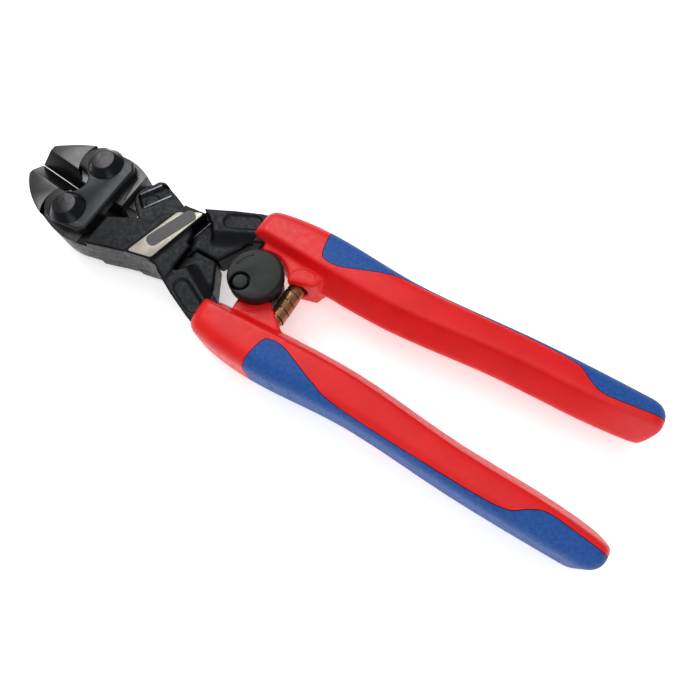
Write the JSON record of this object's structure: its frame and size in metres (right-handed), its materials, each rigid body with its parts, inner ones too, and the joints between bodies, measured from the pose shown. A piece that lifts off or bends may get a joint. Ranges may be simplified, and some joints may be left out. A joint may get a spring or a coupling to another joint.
{
  "type": "bolt cutters",
  "caption": "Compact lever bolt cutter: short jaws joined by riveted link plates, two-colour moulded grips, a turning lock disc and an opening spring, closed.",
  "frame": {"origin": "centre of the tool's outline, on the surface that its back lies on", "axes": "+X from the nose to the grip ends, +Y towards the moving handle, +Z out of the front face"},
  "size_m": [0.199, 0.0478, 0.02],
  "materials": {
    "forging": "black phosphated forging, satin, with a bare ground label band",
    "plate": "dark grey satin machined steel",
    "rivet": "dark steel, turned",
    "grip_red": "red moulded grip, fine satin grain",
    "grip_blue": "blue soft-touch inlay",
    "lock_plastic": "dark grey moulded disc",
    "small_steel": "plain steel",
    "spring_metal": "copper-coloured wound strip"
  },
  "bodies": {
    "fixed_handle": {"fixed_jaw_lever": "forging", "hinge_pin": "rivet", "lower_grip": "grip_red", "lower_grip_inlay": "grip_blue", "lock_rivet": "small_steel", "lock_washer": "small_steel", "lock_keeper_washer": "small_steel", "opening_spring": "spring_metal"},
    "moving_handle": {"moving_lever": "forging", "drive_pin": "small_steel", "upper_grip": "grip_red", "upper_grip_inlay": "grip_blue"},
    "links": {"front_link_plate": "plate", "rear_link_plate": "plate", "upper_link_rivet": "rivet", "lower_link_rivet": "rivet"},
    "moving_jaw": {"moving_jaw": "plate"},
    "lock": {"lock_disc": "lock_plastic", "lock_stud": "lock_plastic"}
  },
  "joints": [
    {"name": "handle_hinge", "type": "hinge", "parent": "fixed_handle", "child": "moving_handle", "pos_m": [-0.0455, 0, 0.01], "axis": [0, 0, 1], "range_deg": [0, 20], "deforming": ["opening_spring"]},
    {"name": "link_rock", "type": "hinge", "parent": "fixed_handle", "child": "links", "pos_m": [-0.077, -0.00915, 0.01], "axis": [0, 0, 1], "range_deg": [0, 1.62]},
    {"name": "jaw_hinge", "type": "hinge", "parent": "links", "child": "moving_jaw", "pos_m": [-0.077, 0.00915, 0.01], "axis": [0, 0, 1], "range_deg": [-18.41, 0]},
    {"name": "lock_turn", "type": "hinge", "parent": "fixed_handle", "child": "lock", "pos_m": [-0.015, 0.0008, 0.01], "axis": [0, 0, 1], "range_deg": [-90, 0]}
  ],
  "couplings": [
    {"joint": "link_rock", "follows": "handle_hinge", "ratio": 0.0662},
    {"joint": "jaw_hinge", "follows": "handle_hinge", "ratio": -0.9054}
  ]
}
